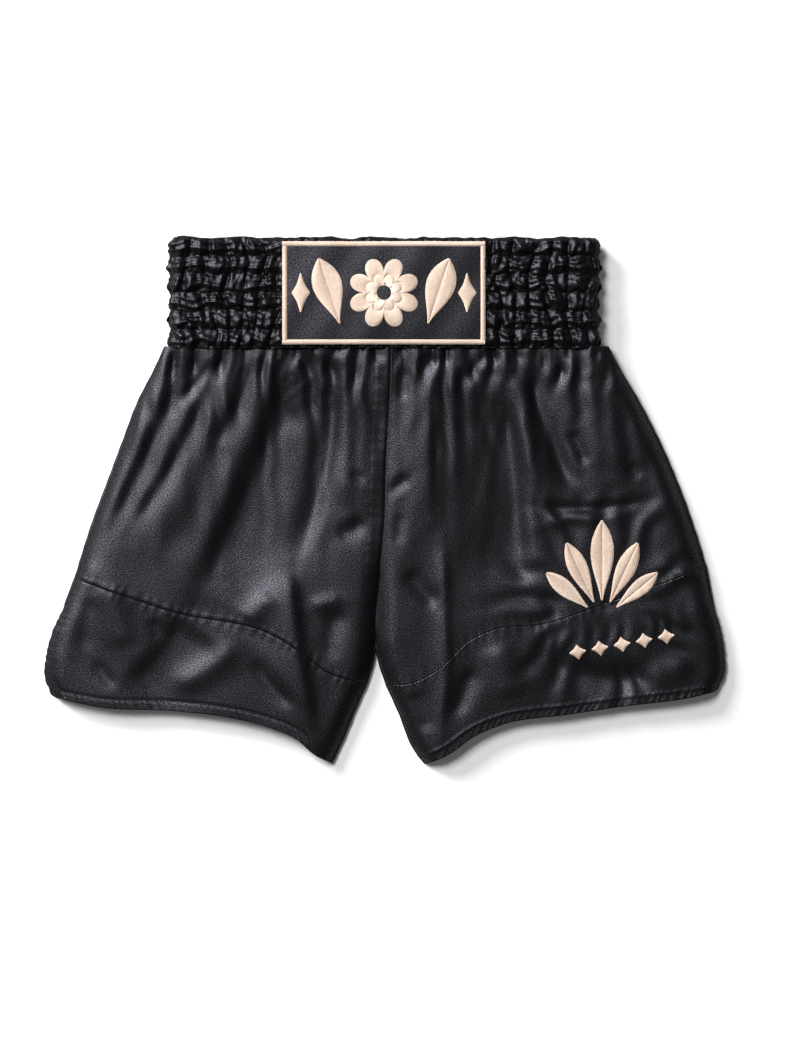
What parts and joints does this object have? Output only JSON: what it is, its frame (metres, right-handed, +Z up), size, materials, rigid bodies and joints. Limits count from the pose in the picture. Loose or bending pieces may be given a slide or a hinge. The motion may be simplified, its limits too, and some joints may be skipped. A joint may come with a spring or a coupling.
{
  "type": "boxing shorts",
  "caption": "Short satin boxing trunks with a wide gathered elastic waistband, an embroidered front patch, stepped hem bands and open side vents, laid flat.",
  "frame": {"origin": "on the surface the shorts lie on, under the middle of their bounding box", "axes": "+X towards the wearer's left leg, +Y from the hems to the waistband, +Z up out of the front face"},
  "size_m": [0.545, 0.422, 0.025],
  "materials": {
    "satin": "black polyester satin, fine grain with a soft sheen",
    "lining": "plain black woven",
    "elastic": "ribbed black elastic tape",
    "thread": "pale peach embroidery thread, glossy satin stitch",
    "backing": "matt non-woven",
    "label": "blank woven label"
  },
  "bodies": {
    "root": {"front_panel_left": "satin", "back_panel_left": "satin", "front_hem_band_left": "satin", "back_hem_band_left": "satin", "front_panel_right": "satin", "back_panel_right": "satin", "front_hem_band_right": "satin", "back_hem_band_right": "satin", "front_hem_turnup_left": "satin", "back_hem_turnup_left": "satin", "front_hem_turnup_right": "satin", "back_hem_turnup_right": "satin", "side_seam_left": "satin", "inseam_left": "satin", "side_seam_right": "satin", "inseam_right": "satin", "front_rise_seam": "satin", "back_rise_seam": "satin", "casing_front_left": "satin", "casing_front_right": "satin", "casing_front_middle": "satin", "casing_back": "satin", "lining_front": "lining", "lining_back": "lining", "elastic_tape_1": "elastic", "elastic_tape_2": "elastic", "elastic_tape_3": "elastic", "elastic_tape_4": "elastic", "elastic_tape_5": "elastic", "elastic_tape_6": "elastic", "waist_patch": "satin", "patch_border": "thread", "patch_rosette": "thread", "patch_leaf_left": "thread", "patch_lozenge_left": "thread", "patch_leaf_right": "thread", "patch_lozenge_right": "thread", "emblem_petal_1": "thread", "emblem_petal_2": "thread", "emblem_petal_3": "thread", "emblem_petal_4": "thread", "emblem_petal_5": "thread", "emblem_bead_1": "thread", "emblem_bead_2": "thread", "emblem_bead_3": "thread", "emblem_bead_4": "thread", "emblem_bead_5": "thread", "emblem_backing": "backing", "care_label": "label"}
  },
  "joints": []
}
